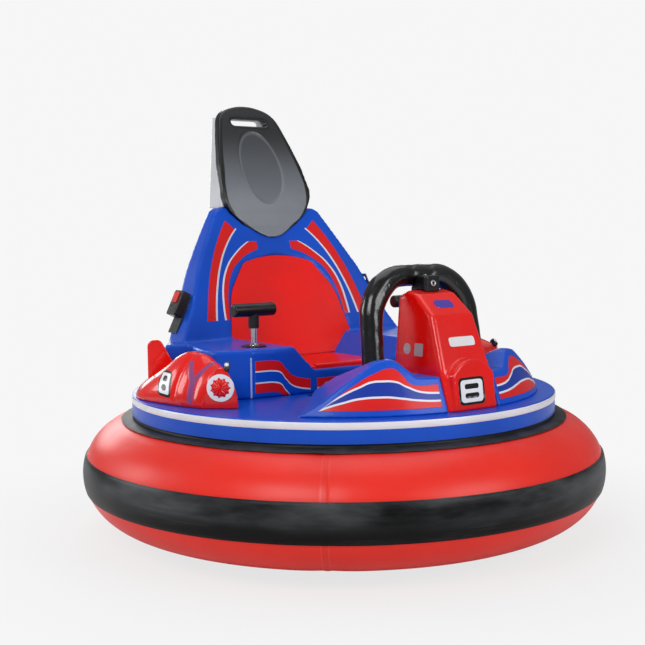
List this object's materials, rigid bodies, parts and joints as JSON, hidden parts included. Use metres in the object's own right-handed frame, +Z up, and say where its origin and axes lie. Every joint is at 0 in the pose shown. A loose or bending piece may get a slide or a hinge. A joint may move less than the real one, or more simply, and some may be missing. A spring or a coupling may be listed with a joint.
{
  "type": "inflatable bumper car",
  "caption": "Round battery-driven bumper car for a child: inflated ring tube, moulded seat, padded grab bar and T-handled steering sticks.",
  "frame": {"origin": "on the floor under the centre of the round tube", "axes": "+X forward, +Y to the driver's left, +Z up"},
  "size_m": [1.1998, 1.1998, 1.008],
  "materials": {
    "red_tube": "satin coated fabric",
    "black_band": "scuffed satin",
    "dark_skirt": "matte",
    "blue_shell": "gloss moulded",
    "white_trim": "gloss",
    "red_shell": "gloss moulded",
    "black_pad": "soft satin",
    "black_plastic": "fine grain",
    "grey_plastic": "fine grain",
    "pale_plastic": "satin",
    "mat_rubber": "ribbed",
    "stem_steel": "polished",
    "plain_steel": "zinc plated",
    "painted_steel": "black powder coat",
    "webbing": "woven",
    "battery_case": "matte",
    "motor_case": "satin",
    "rim_grey": "satin",
    "tyre_black": "matte",
    "button_red": "gloss"
  },
  "bodies": {
    "hull": {"bumper_tube": "red_tube", "wear_band": "black_band", "tube_skirt": "dark_skirt", "tube_valve": "black_plastic", "deck_pan": "blue_shell", "trim_strip": "white_trim", "floor_mat": "mat_rubber", "front_fender_left": "blue_shell", "front_fender_right": "blue_shell", "front_console": "red_shell", "number_pod": "red_shell", "grab_bar": "black_pad", "bar_clamp": "black_plastic", "seat_pedestal": "blue_shell", "seat_pan": "red_shell", "seat_back": "blue_shell", "seat_liner": "red_shell", "headrest_plate": "grey_plastic", "headrest_housing": "pale_plastic", "side_pod_left": "red_shell", "side_pod_right": "red_shell", "pod_fin_left": "red_shell", "pod_fin_right": "red_shell", "stick_socket_left": "black_plastic", "stick_socket_right": "black_plastic", "belt_strap_left": "webbing", "belt_strap_right": "webbing", "belt_buckle": "black_plastic", "buckle_button": "button_red", "belt_tongue": "plain_steel", "chassis_pan": "painted_steel", "chassis_frame": "painted_steel", "battery": "battery_case", "motor_left": "motor_case", "motor_right": "motor_case", "castor_plate_front": "plain_steel", "castor_plate_rear": "plain_steel", "charge_socket": "black_plastic"},
    "drive_wheel_left": {"drive_rim_left": "rim_grey", "drive_tyre_left": "tyre_black"},
    "drive_wheel_right": {"drive_rim_right": "rim_grey", "drive_tyre_right": "tyre_black"},
    "castor_swivel_front": {"castor_fork_front": "plain_steel"},
    "castor_swivel_rear": {"castor_fork_rear": "plain_steel"},
    "castor_roller_front": {"castor_wheel_front": "tyre_black"},
    "castor_roller_rear": {"castor_wheel_rear": "tyre_black"},
    "stick_left": {"stick_stem_left": "stem_steel", "stick_handle_left": "black_plastic"},
    "stick_right": {"stick_stem_right": "stem_steel", "stick_handle_right": "black_plastic"}
  },
  "joints": [
    {"name": "drive_wheel_left_spin", "type": "hinge", "parent": "hull", "child": "drive_wheel_left", "pos_m": [0, 0.265, 0.08], "axis": [0, 1, 0], "continuous": true},
    {"name": "stick_left_tilt", "type": "hinge", "parent": "hull", "child": "stick_left", "pos_m": [-0.025, 0.228, 0.428], "axis": [0, 1, 0], "range_deg": [-15, 15], "stiffness_Nm_per_rad": 1.5},
    {"name": "drive_wheel_right_spin", "type": "hinge", "parent": "hull", "child": "drive_wheel_right", "pos_m": [0, -0.265, 0.08], "axis": [0, 1, 0], "continuous": true},
    {"name": "stick_right_tilt", "type": "hinge", "parent": "hull", "child": "stick_right", "pos_m": [-0.025, -0.228, 0.428], "axis": [0, 1, 0], "range_deg": [-15, 15], "stiffness_Nm_per_rad": 1.5},
    {"name": "castor_front_swivel", "type": "hinge", "parent": "hull", "child": "castor_swivel_front", "pos_m": [0.25, 0, 0.0855], "axis": [0, 0, 1], "continuous": true},
    {"name": "castor_front_roll", "type": "hinge", "parent": "castor_swivel_front", "child": "castor_roller_front", "pos_m": [0.225, 0, 0.0375], "axis": [0, 1, 0], "continuous": true},
    {"name": "castor_rear_swivel", "type": "hinge", "parent": "hull", "child": "castor_swivel_rear", "pos_m": [-0.25, 0, 0.0855], "axis": [0, 0, 1], "continuous": true},
    {"name": "castor_rear_roll", "type": "hinge", "parent": "castor_swivel_rear", "child": "castor_roller_rear", "pos_m": [-0.275, 0, 0.0375], "axis": [0, 1, 0], "continuous": true}
  ]
}
